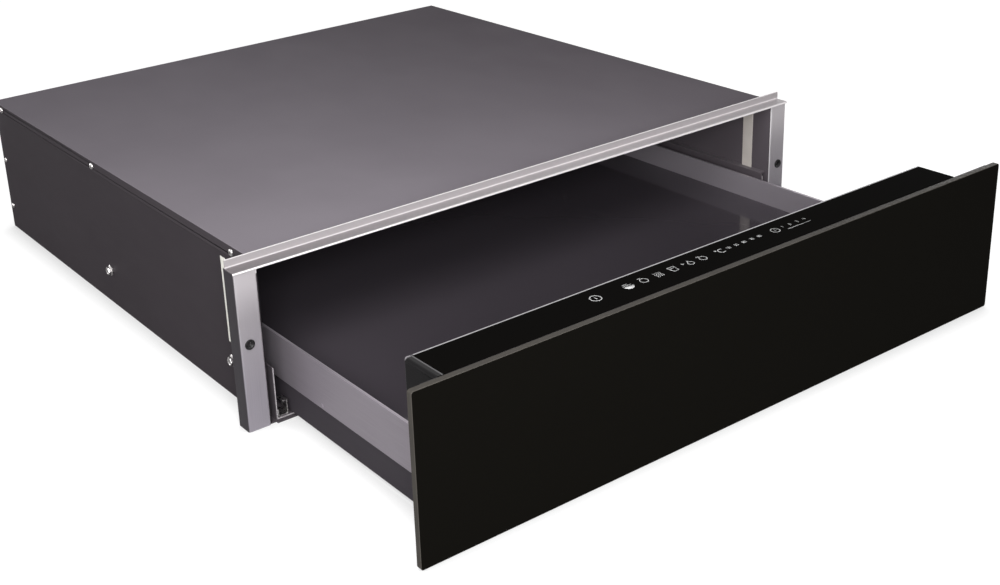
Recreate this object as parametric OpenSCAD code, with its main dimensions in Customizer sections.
// Built-in warming drawer with a glass front, shown with its drawer part way out.
// Millimetres. Z is up, X runs across the front and Y runs from the front to the back.
// The origin lies on the underside of the case, half way across and half way back.

/* [Case] */
// Width over the folded edges of the top cover
case_w = 559; // [500:1:800]
// Depth from the face of the front posts to the back of the cover
case_d = 550; // [535:1:640]
// Height from the underside to the top cover
case_h = 139; // [137:1:180]
// Thickness of the case sheet
sheet = 1; // [0.8:0.1:1.4]
// Depth of the folded edge of the top cover
cover_fold = 10.6; // [8:0.1:16]
// Depth of the fold on each side of the rear panel
rear_fold = 12; // [8:0.5:13]

/* [Front frame] */
// How far each post stands out beyond the case
post_w = 18.5; // [14:0.1:30]
// Depth of the outer leg of a post
post_d = 15; // [10:0.5:25]
// Depth of the inner leg of a post, against the side panel
post_leg_d = 20; // [12:0.5:40]
// Height of the screw bushes above the underside
bush_z = 73; // [30:1:110]
// Distance from the outer edge of a post to its bush
bush_in = 8.2; // [6:0.1:11]
// Diameter of the screw bush in the post
bush_d = 8.4; // [7:0.1:9]
// Bore of the bush for the fixing screw
bush_bore = 4.2; // [3:0.1:5]
// Thickness of the top rail
rail_t = 1; // [0.8:0.1:1.5]
// Depth of the flat shelf of the top rail
rail_shelf = 11.8; // [8:0.1:20]
// Height of the upright back edge of the rail
rail_back_h = 7; // [4:0.1:12]
// Height of the front lip of the rail
rail_lip_h = 2; // [1.5:0.1:4]
// How far the back edge of the rail stands above the top cover
rail_rise = 2; // [0.5:0.1:5]
// How far the rail stands out beyond each post
rail_side_gap = 0.5; // [0:0.1:2]

/* [Side slots] */
// Height of the slot insert
slot_h = 74; // [40:1:84]
// Width of the slot insert
slot_w = 8.5; // [5:0.1:12]
// Lower end of the slot above the underside
slot_z = 50; // [40:1:60]
// Distance of the left slot from the front
slot_left_y = 50; // [24:1:80]
// Distance of the right slot from the front
slot_right_y = 23; // [22:1:80]

/* [Glass front] */
// How far the glass front stands out beyond each post
glass_side_gap = 0.5; // [0:0.1:3]
// Thickness of the glass front
glass_t = 5; // [3:0.5:8]
// Gap between the closed glass and the posts
glass_gap = 3; // [2.5:0.1:6]
// Height of the lower edge of the glass above the underside
glass_lift = 0.6; // [0.5:0.1:6]

/* [Control housing] */
// Gap from the left side of the case to the end of the control housing
panel_gap_left = 3.5; // [3.5:0.5:80]
// Gap from the right side of the case to the end of the control housing
panel_gap_right = 33.5; // [33.5:0.5:120]
// Depth of the control housing behind its carrier
panel_d = 34.8; // [25:0.1:60]
// Lower edge of the control housing above the underside
panel_z = 47.5; // [46:0.5:90]
// Thickness of the touch glass on top of the housing
touch_t = 2.5; // [2:0.1:4]
// Width of the bright edge trim round the touch glass
trim_w = 1.3; // [1:0.1:3]
// Width of the end cap on the left end of the housing
cap_w = 5.5; // [4:0.5:8]
// Radius of the end cap at its top and back edges
cap_r = 3; // [1:0.5:3.5]

/* [Drawer] */
// How far the drawer stands open here
open_shown = 220; // [0:1:430]
// Travel of the drawer from closed to fully open
full_travel = 430; // [300:5:450]
// Lowest face of the drawer above the underside
pan_z = 3.5; // [2.5:0.1:3.9]
// Height of the pan walls
pan_h = 29.5; // [26:0.5:32]
// Height of the side rim above the underside
rim_z = 66; // [60:1:90]
// Thickness over the double side wall
side_t = 2.4; // [2.4:0.1:12]
// Lower edge of the light side skin above the underside
skin_z = 27.5; // [27.2:0.1:31]
// Top of the glass floor above the underside
floor_z = 44.5; // [43:0.5:46]
// Thickness of the glass floor
floor_t = 4; // [3:0.5:6]
// Room behind the drawer box for the fan and the latch
rear_room = 54; // [50:1:100]

/* [Runners] */
// Depth of the runner bracket from the side panel
bracket_d = 6.5; // [4.5:0.5:9]
// Height of the runner bracket
bracket_h = 66; // [50:1:70]
// Gap between the drawer side and the runner bracket
side_gap = 11.5; // [10:0.5:20]
// Room across one runner, from its bracket to the drawer pan
runner_t = 12.7; // [12.7:0.1:16]
// Height of the cabinet member of the runner
runner_h = 23; // [23:0.1:23.4]
// Length of each runner member
runner_len = 480; // [440:5:490]
// Thickness of the runner steel
gauge = 1.2; // [1:0.1:1.2]
// Diameter of the outer runner balls
ball_d = 3; // [2.4:0.1:3]
// Diameter of the inner runner balls
small_ball_d = 2.2; // [1.8:0.1:2.4]
// Balls in one row of a cage
balls_per_row = 10; // [4:1:12]

/* [Fan] */
// Diameter of the fan impeller
fan_d = 48; // [30:1:50]
// Number of fan blades
fan_blades = 20; // [12:1:28]
// Diameter of the motor shaft
shaft_d = 4; // [3:0.5:5]

/* [Push latch] */
// Distance of the latch from the middle
latch_x = 180; // [100:1:240]
// Height of the latch centre above the underside
latch_z = 44; // [44:1:54]
// Diameter of the latch plunger
plunger_d = 9; // [6:0.5:12]
// Travel of the latch plunger
plunger_travel = 6; // [4:0.5:8]

/* [Hidden] */

// Fineness of round faces
$fn = 48;

// Case planes
front_y = -case_d / 2;
side_x = case_w / 2 - sheet;
wall_in = side_x - sheet;
cover_under = case_h - sheet;
rear_out = case_d - sheet;
rear_in = rear_out - sheet;

// Front frame planes
frame_w = case_w + 2 * post_w;
rail_top = case_h + rail_rise;
shelf_top = rail_top - rail_back_h;
post_top = shelf_top - rail_t;
lip_low = shelf_top - rail_lip_h;
rail_w = frame_w + 2 * rail_side_gap;
rail_back_y = rail_shelf - rail_t;
bush_x = frame_w / 2 - bush_in;
bush_lip = 0.8;

// Front of the drawer, measured with the drawer closed
glass_w = frame_w + 2 * glass_side_gap;
panel_left = case_w / 2 - panel_gap_left;
panel_right = case_w / 2 - panel_gap_right;
carrier_t = 1.2;
carrier_in = 11;
carrier_back = -glass_gap + carrier_t;
panel_back = carrier_back + panel_d;
pass_gap = 1.1;
panel_top = lip_low - pass_gap;
glass_over = 0.2;
glass_top = panel_top + glass_over;
cap_in = panel_left - cap_w;

// Drawer box, measured with the drawer closed
arm_x = wall_in - bracket_d;
skin_x = arm_x - side_gap;
skirt_x = skin_x - sheet;
skirt_gap = 0.8;
web_x = skirt_x - sheet - skirt_gap - sheet;
pan_x = web_x - runner_t;
box_in_x = skin_x - side_t;
box_back = case_d - rear_room;
pan_top = pan_z + pan_h;
seal_t = 1;
ledge_w = 6;
ledge_top = floor_z - floor_t - seal_t;
fit_gap = 0.5;
floor_front = 2;
under_panel_gap = 0.5;

// Layers in the pan
mat_t = 25;
reflector_z = pan_z + sheet + mat_t;
reflector_t = 0.8;
element_z = reflector_z + reflector_t;
layer_in = 14;
sensor_y = box_back / 2 + 10;

// Runner section, measured inward from its bracket and up from its middle
bracket_y = 2;
clip_gap = 0.5;
clip_t = 1.2;
clip_l = 12;
clip_h = 13;
runner_z = 4 + runner_h / 2;
runner_y = 5;
ball_gap = 0.2;
cab_in = runner_h / 2 - gauge;
outer_row = cab_in - ball_gap - ball_d / 2;
mid_out = outer_row - ball_d / 2 - ball_gap;
mid_in = mid_out - gauge;
inner_row = mid_in - ball_gap - small_ball_d / 2;
draw_out = inner_row - small_ball_d / 2 - ball_gap;
cab_reach = 9;
mid_from = 3.4;
mid_to = 10.4;
draw_from = 6.4;
draw_plate = 9;
cage_t = 0.8;
cage_len = 170;
cage_y = 140;
ball_room = 0.1;
outer_cage_from = 2;
outer_ball_at = 6.3;
inner_cage_from = 5.2;
inner_ball_at = 8.2;
outer_cage_reach = 8.6;
inner_cage_reach = 10;

// Fan, measured with the drawer closed
fan_z = 35;
fan_shell = 1.6;
fan_room_d = 24;
fan_room_w = 150;
fan_low = 6;
fan_high = 65;
fan_y = box_back + sheet;
motor_d = 32;
motor_len = 9;
shaft_gap = 0.05;
shaft_hole_gap = 1;

// Latch
striker_t = 2;
striker_y = box_back + sheet + striker_t;
latch_touch = 0.3;
plunger_out = plunger_travel + 2;
latch_front = striker_y + latch_touch + plunger_out;
plunger_gap = 0.1;
latch_w = 24;
latch_h = 18;

// Cooling slots in the rear panel
vent_in = 48;

// Rivets of the drawer sides
rivet_rows = 4;
rivet_end = 20;
rivet_d = 3.2;

// Circuit boards
board_t = 1.6;
board_edge = 2;
chip_w = 14;
chip_step = 40;
chip_rows = 9;
touch_short = 60;
power_in = 30;
power_w = 180;
power_h = 60;
power_y = 8;

// Fasteners
cover_screw_d = 4;
bolt_head_d = 8;
side_screw_y = [36, 299, case_d - 23];
side_screw_z = cover_under - cover_fold / 2 + sheet;
bolt_y = [55, 290];
bolt_z = 34;
edge_screw_z = [25, 76];
edge_screw_y = case_d - 8;

// Terminal box on the rear panel
term_in = 79.5;
term_x = case_w / 2 - term_in;
term_w = 90;
term_d = 34;
term_h = 44;
term_drop = 13;
term_z = case_h - term_drop - term_h;
term_wall = 1.6;
gland_d = 18;
gland_in = 26;
gland_x = term_x + gland_in;
gland_z = term_z + term_h / 2;

// Places what is measured from the front posts
module in_case() {
  translate([0, front_y, 0]) children();
}

// Places what rides on the drawer by its share of the opening
module slid(share = 1) {
  translate([0, front_y - open_shown * share, 0]) children();
}

// A block from its low corner to its high corner
module block(low, high) {
  translate(low) cube(high - low);
}

// A section drawn across X and Z, drawn out from y0 to y1
module along_y(y0, y1) {
  translate([0, y1, 0]) rotate([90, 0, 0]) linear_extrude(y1 - y0) children();
}

// A section drawn across Y and Z, drawn out from x0 to x1
module along_x(x0, x1) {
  translate([x0, 0, 0]) rotate([90, 0, 90]) linear_extrude(x1 - x0) children();
}

// A rectangle from its low corner to its high corner
module rect(low, high) {
  translate(low) square(high - low);
}

// A round bar along Y
module bar_y(d, y0, y1) {
  translate([0, y1, 0]) rotate([90, 0, 0]) cylinder(d = d, h = y1 - y0);
}

// A round bar along X, from x0 outwards to x1
module bar_x(d, x0, x1) {
  translate([x0, 0, 0]) rotate([0, 90, 0]) cylinder(d = d, h = x1 - x0);
}

// Mirrors the left side to the right when side is 1
module sided(side) {
  mirror([side > 0 ? 1 : 0, 0, 0]) children();
}

// ---- Case ----

module base_pan() {
  tongue_w = 2 * (wall_in - 4);
  tongue = 1.6;
  color("#3b373b") in_case() union() {
    block([-side_x, sheet, 0], [side_x, rear_out, sheet]);
    block([-tongue_w / 2, -tongue, 0], [tongue_w / 2, sheet, sheet]);
  }
}

// The slot cut and its insert share one outline
module slot_cut(y, grow, x0, x1) {
  block([x0, y - grow, slot_z - grow], [x1, y + slot_w + grow, slot_z + slot_h + grow]);
}

// Holes for the cover screws, the runner bolts and the rear panel screws
module side_holes() {
  for (y = side_screw_y)
    translate([0, y, side_screw_z]) bar_x(cover_screw_d, -side_x - 5, -wall_in + 5);
  for (y = bolt_y)
    translate([0, y, bolt_z]) bar_x(cover_screw_d, -side_x - 5, -wall_in + 5);
  for (z = edge_screw_z)
    translate([0, edge_screw_y, z]) bar_x(cover_screw_d, -side_x - 5, -wall_in + 5);
}

module side_panel(slot_y) {
  difference() {
    block([-side_x, sheet, sheet], [-wall_in, rear_out, cover_under]);
    block([-side_x - 1, 0, post_top], [-wall_in + 1, rail_shelf, case_h]);
    slot_cut(slot_y, 0, -side_x - 1, -wall_in + 1);
    side_holes();
  }
}

module side_panel_left() {
  color("#3d383b") in_case() side_panel(slot_left_y);
}

module side_panel_right() {
  color("#3d383b") in_case() sided(1) side_panel(slot_right_y);
}

// One bank of upright cooling slots in the rear panel
module vent_bank(x) {
  vent_w = 3;
  vent_h = 22;
  vent_drop = 60;
  vent_step = 7;
  vents = 9;
  for (i = [0 : vents - 1])
    block([x + i * vent_step, rear_in - 1, case_h - vent_drop],
          [x + i * vent_step + vent_w, rear_out + 1, case_h - vent_drop + vent_h]);
}

module rear_panel() {
  color("#3b373b") in_case() difference() {
    union() {
      block([-wall_in, rear_in, sheet], [wall_in, rear_out, cover_under]);
      for (s = [0, 1]) sided(s)
        block([-wall_in, rear_in - rear_fold, sheet],
              [-wall_in + sheet, rear_in, cover_under]);
    }
    vent_bank(vent_in - wall_in);
    vent_bank(-vent_in);
    translate([gland_x, 0, gland_z]) bar_y(gland_d - 4, rear_in - 1, rear_out + 1);
    for (s = [0, 1]) sided(s) side_holes();
  }
}

module top_cover() {
  color("#78727a") in_case() difference() {
    union() {
      block([-case_w / 2, rail_shelf, cover_under], [case_w / 2, case_d, case_h]);
      for (s = [0, 1]) sided(s)
        block([-case_w / 2, rail_shelf, case_h - cover_fold],
              [-side_x, case_d, cover_under]);
      block([-side_x, rear_out, case_h - cover_fold], [side_x, case_d, cover_under]);
    }
    for (s = [0, 1]) sided(s) side_holes();
  }
}

// Folded bar that ties the side panels together behind the rail
module front_crossbar() {
  bar_d = 22;
  color("#4a464a") in_case() along_x(-wall_in, wall_in) union() {
    rect([rail_shelf, cover_under - sheet], [rail_shelf + bar_d, cover_under]);
    rect([rail_shelf, post_top - 0.4], [rail_shelf + sheet, cover_under]);
  }
}

// Front rail: a lip, a flat shelf and an upright back edge
module top_rail() {
  color("#c2bdbc") in_case() along_x(-rail_w / 2, rail_w / 2) union() {
    rect([-rail_t, lip_low], [0, shelf_top]);
    rect([-rail_t, post_top], [rail_back_y + rail_t, shelf_top]);
    rect([rail_back_y, post_top], [rail_back_y + rail_t, rail_top]);
  }
}

// Post: face and outer leg up to the rail, inner leg up to the folded cover
module post() {
  difference() {
    union() {
      linear_extrude(post_top) union() {
        rect([-frame_w / 2, 0], [-side_x, sheet]);
        rect([-frame_w / 2, 0], [-frame_w / 2 + sheet, post_d]);
      }
      block([-side_x - sheet, 0, 0], [-side_x, post_leg_d, case_h - cover_fold]);
    }
    translate([-bush_x, 0, bush_z]) bar_y(bush_d - 2 * bush_lip, -1, sheet + 1);
  }
}

module post_left() {
  color("#a09ca0") in_case() post();
}

module post_right() {
  color("#a09ca0") in_case() sided(1) post();
}

// Two moulded bushes that take the fixing screws
module screw_bushes() {
  color("#1c1b1c") in_case() for (s = [0, 1]) sided(s)
    translate([-bush_x, 0, bush_z]) difference() {
      union() {
        bar_y(bush_d, -bush_lip, 0);
        bar_y(bush_d - 2 * bush_lip, 0, sheet);
        bar_y(bush_d, sheet, sheet + 2);
      }
      bar_y(bush_bore, -bush_lip - 1, sheet + 4);
    }
}

// Pale insert with a fine groove down its middle and a flange inside the case
module slot_insert(slot_y) {
  flange = 1.6;
  flange_t = 0.8;
  groove_w = 0.9;
  groove_d = 0.4;
  difference() {
    union() {
      slot_cut(slot_y, 0, -side_x, -wall_in);
      slot_cut(slot_y, flange, -wall_in, -wall_in + flange_t);
    }
    block([-side_x - 1, slot_y + (slot_w - groove_w) / 2, slot_z - 1],
          [-side_x + groove_d, slot_y + (slot_w + groove_w) / 2, slot_z + slot_h + 1]);
  }
}

module slot_insert_left() {
  color("#dcd9cf") in_case() slot_insert(slot_left_y);
}

module slot_insert_right() {
  color("#dcd9cf") in_case() sided(1) slot_insert(slot_right_y);
}

// Domed screw head on a side of the case, with its shank through the sheets
module side_screw(face, head_d, head_h, reach) {
  rotate([0, -90, 0]) union() {
    translate([0, 0, face]) cylinder(d = head_d, h = head_h * 0.6);
    translate([0, 0, face + head_h * 0.6]) cylinder(d = head_d * 0.72, h = head_h * 0.4);
    translate([0, 0, face - reach]) cylinder(d = cover_screw_d, h = reach);
  }
}

module cover_screws() {
  color("#c9c6c6") in_case() for (s = [0, 1]) sided(s) for (y = side_screw_y)
    translate([0, y, side_screw_z]) side_screw(case_w / 2, 6, 1.6, 3 * sheet);
}

// Flanged hex bolts that hold the runner brackets
module side_bolts() {
  washer_t = 1;
  hex_h = 2.6;
  color("#d0cdcd") in_case() for (s = [0, 1]) sided(s) for (y = bolt_y)
    translate([0, y, bolt_z]) rotate([0, -90, 0]) union() {
      translate([0, 0, side_x]) cylinder(d = bolt_head_d + 2, h = washer_t);
      translate([0, 0, side_x + washer_t]) cylinder(d = bolt_head_d, h = hex_h, $fn = 6);
      translate([0, 0, arm_x]) cylinder(d = cover_screw_d, h = side_x - arm_x);
    }
}

module rear_screws() {
  color("#c9c6c6") in_case() union() {
    for (s = [0, 1]) sided(s) for (z = edge_screw_z)
      translate([0, edge_screw_y, z]) side_screw(side_x, 5, 1.4, 2 * sheet);
  }
}

// ---- Runners ----

// Folded bracket: a tall arm bolted to the side panel, a foot that reaches in under the
// drawer side, and an upstand that carries the runner
module runner_bracket(slot_y) {
  nose = 5;
  end_y = runner_y + runner_len;
  upstand = runner_z + runner_h / 2;
  difference() {
    along_y(bracket_y, end_y) union() {
      rect([-arm_x - sheet, sheet], [-arm_x, sheet + bracket_h]);
      rect([-wall_in, bracket_h], [-arm_x, sheet + bracket_h]);
      rect([-arm_x - sheet, sheet], [-web_x, 2 * sheet]);
      rect([-web_x - sheet, sheet], [-web_x, upstand]);
    }
    translate([0, bracket_y, sheet + bracket_h]) nose_cut(nose);
    block([-wall_in - 1, slot_y - 2.5, bracket_h - 1],
          [-wall_in + 1.5, slot_y + slot_w + 2.5, bracket_h + 2]);
    for (y = bolt_y)
      translate([0, y, bolt_z]) bar_x(cover_screw_d, -arm_x - 2 * sheet, -arm_x + 1);
  }
}

// Rounds the upper front corner of the bracket
module nose_cut(r) {
  along_x(-wall_in - 1, -arm_x + 1) difference() {
    rect([-1, -r], [r, 1]);
    translate([r, -r]) circle(r);
  }
}

// The left bracket is cut lower at the front, where the control housing comes in
module runner_bracket_left() {
  color("#4b464b") in_case() difference() {
    runner_bracket(slot_left_y);
    block([-wall_in - 1, bracket_y - 1, panel_z - 1.5],
          [-arm_x + 1, panel_back + 2, bracket_h + 2]);
  }
}

module runner_bracket_right() {
  color("#4b464b") in_case() sided(1) runner_bracket(slot_right_y);
}

// Bright clip with turned-up edges that holds the front end of each bracket foot
module runner_clips() {
  x0 = arm_x - clip_gap;
  x1 = skin_x + 3 * clip_gap;
  color("#cfcccb") in_case() for (s = [0, 1]) sided(s)
    translate([0, bracket_y + sheet, 2 * sheet]) union() {
      block([-x0, 0, 0], [-x1, clip_l, clip_t]);
      block([-x0, 0, 0], [-x0 + clip_t, clip_l, clip_h / 2]);
      block([-x1 - clip_t, 0, 0], [-x1, clip_l * 0.75, clip_h]);
      block([-x1 - clip_h / 3, 0, clip_h - clip_t], [-x1, clip_l * 0.75, clip_h]);
    }
}

// Draws a runner section for the left side, drawn out along Y
module runner_bar(y0, length) {
  translate([-web_x, 0, runner_z]) along_y(y0, y0 + length) children();
}

// Outer channel, fixed to its bracket
module cabinet_runner() {
  runner_bar(runner_y, runner_len) union() {
    rect([0, -runner_h / 2], [gauge, runner_h / 2]);
    rect([0, cab_in], [cab_reach, runner_h / 2]);
    rect([0, -runner_h / 2], [cab_reach, -cab_in]);
  }
}

// Middle channel, running inside the outer one
module middle_runner() {
  runner_bar(runner_y, runner_len) union() {
    rect([mid_from, -mid_out], [mid_from + gauge, mid_out]);
    rect([mid_from, mid_in], [mid_to, mid_out]);
    rect([mid_from, -mid_out], [mid_to, -mid_in]);
  }
}

// Inner member, fixed to the drawer pan
module drawer_runner() {
  runner_bar(runner_y, runner_len) union() {
    rect([runner_t - gauge, -draw_plate], [runner_t, draw_plate]);
    rect([draw_from, draw_out - gauge], [runner_t - gauge, draw_out]);
    rect([draw_from, -draw_out], [runner_t - gauge, gauge - draw_out]);
  }
}

// Strip that keeps two rows of balls apart, with the balls in it
module ball_cage(from, at, row, d, reach) {
  step = cage_len / balls_per_row;
  places = [for (i = [0 : balls_per_row - 1]) cage_y + step * (i + 0.5)];
  translate([-web_x, 0, runner_z]) {
    difference() {
      along_y(cage_y, cage_y + cage_len) union() {
        rect([from, -row - cage_t / 2], [from + cage_t, row + cage_t / 2]);
        rect([from, row - cage_t / 2], [reach, row + cage_t / 2]);
        rect([from, -row - cage_t / 2], [reach, cage_t / 2 - row]);
      }
      for (y = places)
        translate([at, y, -row - 1]) cylinder(d = d + 2 * ball_room, h = 2 * row + 2);
    }
    for (y = places) for (s = [-1, 1])
      translate([at, y, s * row]) sphere(d = d);
  }
}

module outer_ball_cage() {
  ball_cage(outer_cage_from, outer_ball_at, outer_row, ball_d, outer_cage_reach);
}

module inner_ball_cage() {
  ball_cage(inner_cage_from, inner_ball_at, inner_row, small_ball_d, inner_cage_reach);
}

module cabinet_runner_left() {
  color("#b9b7b6") in_case() cabinet_runner();
}

module cabinet_runner_right() {
  color("#b9b7b6") in_case() sided(1) cabinet_runner();
}

module middle_runner_left() {
  color("#4d4a4d") slid(0.5) middle_runner();
}

module middle_runner_right() {
  color("#4d4a4d") slid(0.5) sided(1) middle_runner();
}

module drawer_runner_left() {
  color("#5a575a") slid() drawer_runner();
}

module drawer_runner_right() {
  color("#5a575a") slid() sided(1) drawer_runner();
}

module outer_ball_cage_left() {
  color("#d8d6d2") slid(0.25) outer_ball_cage();
}

module outer_ball_cage_right() {
  color("#d8d6d2") slid(0.25) sided(1) outer_ball_cage();
}

module inner_ball_cage_left() {
  color("#d8d6d2") slid(0.75) inner_ball_cage();
}

module inner_ball_cage_right() {
  color("#d8d6d2") slid(0.75) sided(1) inner_ball_cage();
}

// ---- Drawer ----

// Dark tray that holds the heater and its layers, with a flange over each runner
module drawer_pan() {
  color("#3a3539") slid() difference() {
    union() {
      block([-pan_x, carrier_back, pan_z], [pan_x, box_back, pan_top]);
      block([-skirt_x + sheet, carrier_back, pan_top - sheet],
            [skirt_x - sheet, box_back, pan_top]);
    }
    block([-pan_x + sheet, carrier_back + sheet, pan_z + sheet],
          [pan_x - sheet, box_back - sheet, pan_top + 1]);
  }
}

// Dark skirt that hides the runner, hung from the flange of the pan
module side_skirt() {
  along_y(carrier_back, box_back) union() {
    rect([-skirt_x, pan_z], [-skirt_x + sheet, pan_top + sheet]);
    rect([-skirt_x, pan_top], [-pan_x, pan_top + sheet]);
  }
}

module side_skirt_left() {
  color("#3f3a3f") slid() side_skirt();
}

module side_skirt_right() {
  color("#3f3a3f") slid() sided(1) side_skirt();
}

// Double side wall: outer skin, rim, inner skin and the ledge under the glass floor
module side_section() {
  union() {
    rect([-skin_x, skin_z], [-skin_x + sheet, rim_z]);
    rect([-skin_x, rim_z - sheet], [-box_in_x, rim_z]);
    rect([-box_in_x - sheet, ledge_top - sheet], [-box_in_x, rim_z]);
    rect([-box_in_x - sheet, ledge_top - sheet], [-box_in_x + ledge_w, ledge_top]);
  }
}

// The left wall drops under the control housing, which is wider than the box there
module drawer_side_left() {
  color("#857f86") slid() difference() {
    along_y(carrier_back, box_back) side_section();
    block([-skin_x - 1, carrier_back - 1, panel_z - under_panel_gap],
          [-box_in_x + 1, panel_back + under_panel_gap, rim_z + 1]);
  }
}

module drawer_side_right() {
  color("#857f86") slid() sided(1) along_y(carrier_back, box_back) side_section();
}

// Back wall with the air slots of the fan
module drawer_back() {
  slot_step = 8;
  slots = 7;
  color("#857f86") slid() difference() {
    union() {
      block([-skin_x, box_back, skin_z], [skin_x, box_back + sheet, rim_z]);
      block([-box_in_x, box_back - 6, rim_z - sheet], [box_in_x, box_back, rim_z]);
    }
    for (bank = [-1, 1]) for (i = [0 : slots - 1])
      translate([bank * 38 + (i - (slots - 1) / 2) * slot_step, 0, 0])
        block([-2, box_back - 1, floor_z + 4], [2, box_back + sheet + 1, fan_high - 3]);
  }
}

module glass_floor() {
  color("#2b272c") slid()
    block([-box_in_x + fit_gap, floor_front, floor_z - floor_t],
          [box_in_x - fit_gap, box_back - fit_gap, floor_z]);
}

// Soft strip between the ledges and the glass floor
module floor_seal() {
  color("#1e1d1e") slid() for (s = [0, 1]) sided(s)
    block([-box_in_x + fit_gap, floor_front, ledge_top],
          [-box_in_x + ledge_w, box_back - fit_gap, ledge_top + seal_t]);
}

module insulation_mat() {
  color("#cfc9b8") slid()
    block([-pan_x + layer_in, floor_front + layer_in, pan_z + sheet],
          [pan_x - layer_in, box_back - layer_in, reflector_z]);
}

module heat_reflector() {
  color("#c4c5c6") slid()
    block([-pan_x + layer_in, floor_front + layer_in, reflector_z],
          [pan_x - layer_in, box_back - layer_in, element_z]);
}

// Flat heating band laid to and fro on the reflector
module heating_element() {
  runs = 8;
  band = 8;
  thick = 2.2;
  margin = 40;
  run_len = 2 * (pan_x - layer_in - margin);
  span = box_back - 2 * (layer_in + margin) - floor_front;
  step = span / (runs - 1);
  color("#a89c90") slid() translate([0, floor_front + layer_in + margin, element_z]) union() {
    for (i = [0 : runs - 1])
      block([-run_len / 2, i * step - band / 2, 0], [run_len / 2, i * step + band / 2, thick]);
    for (i = [0 : runs - 2])
      translate([i % 2 == 0 ? run_len / 2 : -run_len / 2, (i + 0.5) * step, 0])
        rotate([0, 0, i % 2 == 0 ? -90 : 90]) half_ring(step / 2, band, thick);
  }
}

// Half of a flat ring, for the turns of the band
module half_ring(r, band, thick) {
  linear_extrude(thick) difference() {
    circle(r + band / 2);
    circle(r - band / 2);
    translate([-2 * r, -4 * r]) square(4 * r);
  }
}

// Sensor pressed up to the glass floor
module temperature_sensor() {
  foot_w = 16;
  foot_d = 12;
  foot_t = 2;
  sensor_d = 7;
  color("#e6e2d8") slid() translate([0, sensor_y, element_z]) union() {
    translate([-foot_w / 2, -foot_d / 2, 0]) cube([foot_w, foot_d, foot_t]);
    cylinder(d = sensor_d, h = floor_z - floor_t - element_z);
  }
}

module safety_thermostat() {
  thermostat_x = 60;
  body_d = 18;
  body_h = 4;
  cap_d = 11;
  cap_h = 3;
  color("#d9d6cc") slid() translate([thermostat_x, sensor_y, element_z]) union() {
    cylinder(d = body_d, h = body_h);
    translate([0, 0, body_h]) cylinder(d = cap_d, h = cap_h);
  }
}

// Rivets that join the light side walls to the skirts
module pan_rivets() {
  step = (box_back - 2 * rivet_end) / (rivet_rows - 1);
  color("#8f8a90") slid() for (s = [0, 1]) sided(s) for (i = [0 : rivet_rows - 1])
    translate([0, rivet_end + i * step, (skin_z + pan_top) / 2]) union() {
      bar_x(rivet_d, -skin_x - rivet_d / 8, -skin_x);
      bar_x(rivet_d * 0.75, -skirt_x + sheet, -skirt_x + sheet + rivet_d / 5);
    }
}

module front_carrier() {
  color("#222122") slid()
    block([-glass_w / 2 + carrier_in, -glass_gap, glass_lift + 1.5],
          [glass_w / 2 - carrier_in, carrier_back, panel_top - 0.4]);
}

module front_glass() {
  color("#15150f") slid()
    block([-glass_w / 2, -glass_gap - glass_t, glass_lift],
          [glass_w / 2, -glass_gap, glass_top]);
}

// Hollow moulded housing behind the top of the glass front
module control_housing() {
  wall = 2;
  low = panel_z;
  high = panel_top - touch_t;
  color("#161516") slid() difference() {
    block([-cap_in, carrier_back, low], [panel_right, panel_back, high]);
    block([-cap_in + wall, carrier_back + wall, low + wall],
          [panel_right - wall, panel_back - wall, high + 1]);
  }
}

// Rounded glossy cap on the left end of the housing
module end_cap() {
  color("#1d1b1d") slid() intersection() {
    translate([0, 0, panel_z]) linear_extrude(panel_top - panel_z) union() {
      rect([-panel_left, carrier_back], [-cap_in, panel_back - cap_r]);
      rect([-panel_left + cap_r, carrier_back], [-cap_in, panel_back]);
      translate([-panel_left + cap_r, panel_back - cap_r]) circle(cap_r);
    }
    along_y(carrier_back - 1, panel_back + 1) union() {
      rect([-panel_left, panel_z], [-cap_in, panel_top - cap_r]);
      rect([-panel_left + cap_r, panel_z], [-cap_in, panel_top]);
      translate([-panel_left + cap_r, panel_top - cap_r]) circle(cap_r);
    }
  }
}

// Printed glass on top of the housing
module touch_glass() {
  color("#0a0a0a") slid()
    block([-cap_in + trim_w, carrier_back, panel_top - touch_t],
          [panel_right, panel_back - trim_w, panel_top]);
}

// Bright trim along the back and the left end of the touch glass
module edge_trim() {
  color("#d6d4d4") slid() translate([0, 0, panel_top - touch_t])
    linear_extrude(touch_t) union() {
      rect([-cap_in, panel_back - trim_w], [panel_right, panel_back]);
      rect([-cap_in, carrier_back], [-cap_in + trim_w, panel_back]);
    }
}

module touch_board() {
  board_low = panel_top - touch_t - 4 * board_t;
  color("#2f6b3a") slid() union() {
    block([-cap_in + board_edge, carrier_back + board_edge, board_low],
          [panel_right - touch_short, panel_back - board_edge, board_low + board_t]);
    for (i = [0 : chip_rows - 1])
      translate([-cap_in + chip_step * (i + 1.5), 0, 0])
        block([0, carrier_back + 5 * board_t, board_low + board_t],
              [chip_w, panel_back - 5 * board_t, panel_top - touch_t]);
  }
}

// Board with a transformer and a round capacitor
module power_board() {
  x = -cap_in + power_in;
  y = carrier_back + power_y;
  low = panel_z + board_edge;
  color("#2f6b3a") slid() union() {
    block([x, y, low], [x + power_w, y + board_t, low + power_h]);
    block([x + power_w / 9, y + board_t, low + power_h / 6],
          [x + power_w / 3, y + power_h / 3, low + power_h * 0.7]);
    translate([x + power_w * 0.55, 0, low + power_h / 2])
      bar_y(power_h / 4, y + board_t, y + power_h / 3);
  }
}

// ---- Fan ----

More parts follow.
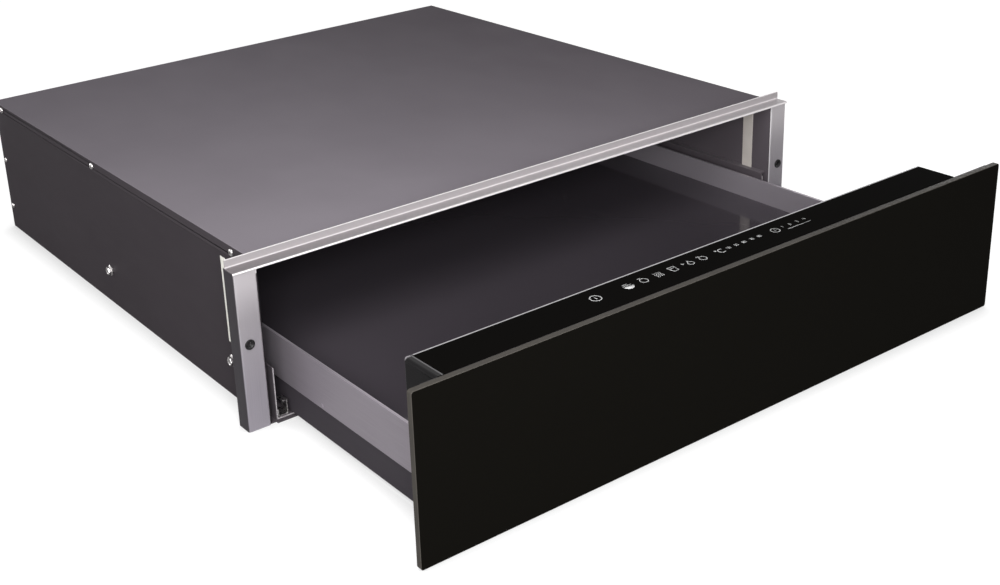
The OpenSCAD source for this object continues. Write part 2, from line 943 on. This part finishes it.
module fan_housing() {
  half = fan_room_w / 2;
  back = fan_y + fan_room_d;
  color("#5d5a5d") slid() difference() {
    block([-half, fan_y, fan_low], [half, back, fan_high]);
    block([-half + fan_shell, fan_y - 1, fan_low + fan_shell],
          [half - fan_shell, back - fan_shell, fan_high - fan_shell]);
    translate([0, 0, fan_z]) bar_y(shaft_d + 2 * shaft_hole_gap, back - fan_shell - 1, back + 1);
  }
}

module fan_motor() {
  back = fan_y + fan_room_d;
  color("#77757a") slid() translate([0, 0, fan_z]) union() {
    bar_y(motor_d, back, back + motor_len);
    bar_y(shaft_d, fan_y + 4, back);
  }
}

module fan_impeller() {
  y0 = fan_y + 4.5;
  y1 = fan_y + fan_room_d - fan_shell - 2;
  rim = 3;
  blade_t = 1;
  color("#c7b489") slid() translate([0, 0, fan_z]) difference() {
    union() {
      bar_y(12, y0 + 2, y1);
      bar_y(fan_d, y1 - 1.5, y1);
      along_y(y0, y1)
        for (i = [0 : fan_blades - 1]) rotate(i * 360 / fan_blades)
          translate([fan_d / 2 - 9, -blade_t / 2]) square([8.5, blade_t]);
      along_y(y0, y0 + rim) difference() {
        circle(d = fan_d);
        circle(d = fan_d - 4);
      }
    }
    bar_y(shaft_d + 2 * shaft_gap, y0 - 1, y1 + 1);
  }
}

// ---- Latch ----

module latch_striker() {
  color("#b9b7b6") slid()
    block([latch_x - 12, box_back + sheet, latch_z - 10],
          [latch_x + 12, striker_y, latch_z + 10]);
}

module latch_body() {
  color("#e2e0da") in_case() difference() {
    block([latch_x - latch_w / 2, latch_front, latch_z - latch_h / 2],
          [latch_x + latch_w / 2, rear_in, latch_z + latch_h / 2]);
    translate([latch_x, 0, latch_z])
      bar_y(plunger_d + 2 * plunger_gap, latch_front - 1, rear_in - 3);
  }
}

module latch_plunger() {
  tail = 20;
  color("#2a2a2b") in_case() translate([latch_x, 0, latch_z])
    bar_y(plunger_d, striker_y + latch_touch, latch_front + tail);
}

// ---- Mains connection ----

module terminal_cover() {
  x0 = term_x - term_w / 2;
  x1 = term_x + term_w / 2;
  y0 = rear_in - term_d;
  color("#e6e3dc") in_case() difference() {
    block([x0, y0, term_z], [x1, rear_in, term_z + term_h]);
    block([x0 + term_wall, y0 + term_wall, term_z + term_wall],
          [x1 - term_wall, rear_in + 1, term_z + term_h - term_wall]);
  }
}

module terminal_block() {
  poles = 3;
  pole_w = 12;
  pole_gap = 1;
  pole_d = 20;
  pole_h = 26;
  wire_d = 5;
  body_w = pole_w - pole_gap;
  block_in = 34;
  block_lift = 8;
  color("#f0ede4") in_case() translate([term_x - block_in, rear_in, term_z + block_lift])
    for (i = [0 : poles - 1])
      translate([i * pole_w, 0, 0]) difference() {
        translate([0, -pole_d, 0]) cube([body_w, pole_d, pole_h]);
        translate([body_w / 2, -pole_d / 2, 0]) cylinder(d = wire_d, h = 3 * pole_h, center = true);
      }
}

module cable_gland() {
  nut_t = 3;
  color("#232323") in_case() translate([gland_x, 0, gland_z]) difference() {
    union() {
      bar_y(gland_d - 4, rear_in, rear_out);
      bar_y(gland_d, rear_in - nut_t, rear_in);
      bar_y(gland_d, rear_out, rear_out + nut_t);
      bar_y(gland_d - 6, rear_out + nut_t, rear_out + 2 * nut_t);
    }
    bar_y(8, rear_in - nut_t - 1, rear_out + 2 * nut_t + 1);
  }
}

base_pan();
side_panel_left();
side_panel_right();
rear_panel();
top_cover();
front_crossbar();
top_rail();
post_left();
post_right();
screw_bushes();
slot_insert_left();
slot_insert_right();
cover_screws();
side_bolts();
rear_screws();
runner_bracket_left();
runner_bracket_right();
runner_clips();
cabinet_runner_left();
cabinet_runner_right();
middle_runner_left();
middle_runner_right();
drawer_runner_left();
drawer_runner_right();
outer_ball_cage_left();
outer_ball_cage_right();
inner_ball_cage_left();
inner_ball_cage_right();
drawer_pan();
side_skirt_left();
side_skirt_right();
drawer_side_left();
drawer_side_right();
drawer_back();
glass_floor();
floor_seal();
heating_element();
heat_reflector();
insulation_mat();
temperature_sensor();
safety_thermostat();
pan_rivets();
front_carrier();
front_glass();
control_housing();
end_cap();
touch_glass();
edge_trim();
touch_board();
power_board();
fan_housing();
fan_motor();
fan_impeller();
latch_striker();
latch_body();
latch_plunger();
terminal_cover();
terminal_block();
cable_gland();
